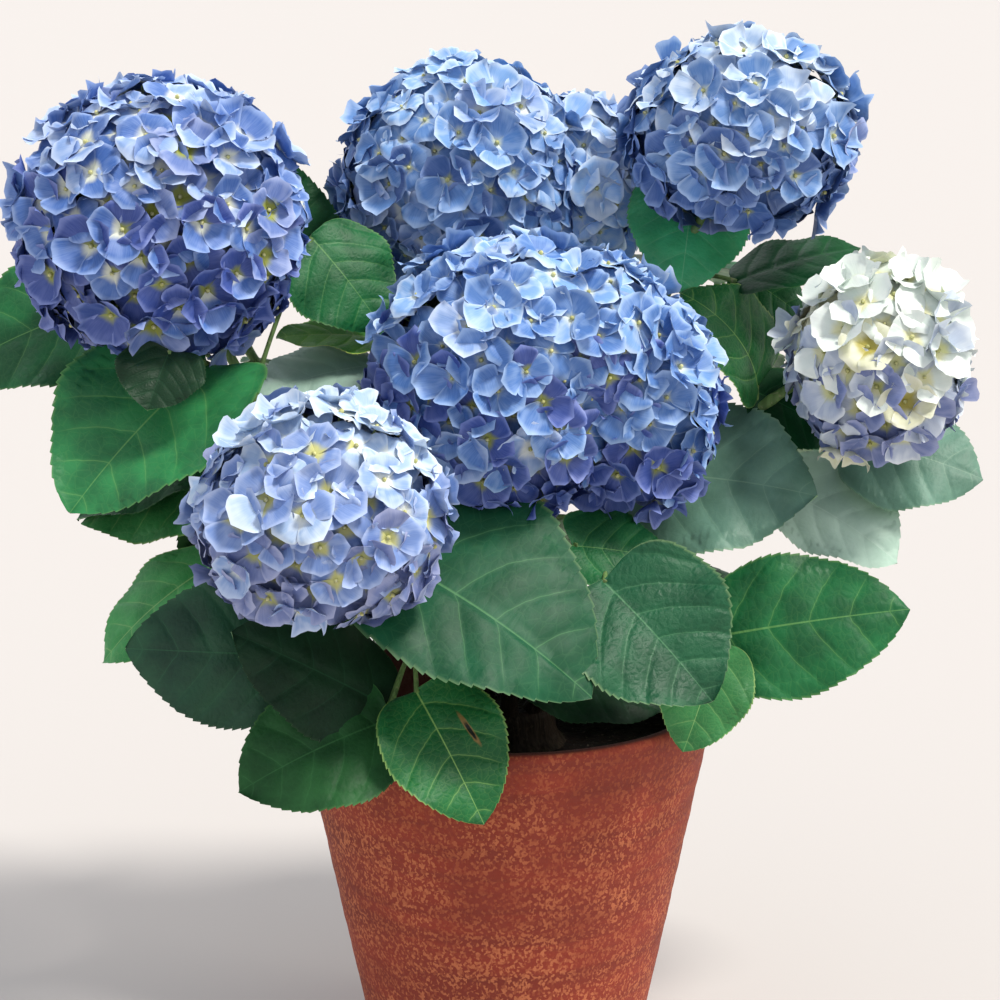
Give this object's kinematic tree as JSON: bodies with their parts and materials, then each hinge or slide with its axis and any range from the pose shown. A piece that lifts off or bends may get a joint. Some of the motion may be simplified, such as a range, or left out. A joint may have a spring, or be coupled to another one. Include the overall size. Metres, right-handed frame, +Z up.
{
  "type": "potted hydrangea shrub",
  "caption": "Mophead hydrangea with large blue and white flower heads and broad toothed leaves, growing in a plain tapered terracotta flower pot.",
  "frame": {"origin": "centre of the pot's flat underside, on the surface that the pot stands on", "axes": "+Z up; -Y towards the viewer of the picture; +X to the viewer's right"},
  "size_m": [0.665, 0.4687, 0.6743],
  "materials": {
    "terracotta": "unglazed fired clay, matt, mottled",
    "potting_soil": "loose dark potting mix of bark and peat",
    "bark": "thin peeling bark, matt",
    "leaf": "leaf, satin, with pale veins",
    "petal_violet_blue": "soft petal, satin",
    "petal_lavender": "soft petal, satin",
    "petal_periwinkle": "soft petal, satin",
    "petal_white": "soft petal, satin",
    "petal_light_blue": "soft petal, satin",
    "petal_steel_blue": "soft petal, satin"
  },
  "bodies": {
    "root": {"pot": "terracotta", "soil": "potting_soil", "stock": "bark", "bloom_left": "petal_violet_blue", "bloom_low_left": "petal_lavender", "bloom_front": "petal_periwinkle", "bloom_white": "petal_white", "bloom_top_right": "petal_light_blue", "bloom_back": "petal_steel_blue", "bloom_rear": "petal_light_blue", "bloom_rear_left": "petal_violet_blue", "bough_left": "bark", "bough_low_left": "bark", "bough_front": "bark", "bough_front_right": "bark", "bough_white": "bark", "bough_top_right": "bark", "bough_back_right": "bark", "bough_rear": "bark", "bough_back": "bark", "bough_rear_left": "bark", "leaves_left": "leaf", "leaves_low_left": "leaf", "leaves_front": "leaf", "leaves_front_right": "leaf", "leaves_white": "leaf", "leaves_top_right": "leaf", "leaves_back_right": "leaf", "leaves_rear": "leaf", "leaves_back": "leaf", "leaves_rear_left": "leaf"}
  },
  "joints": []
}
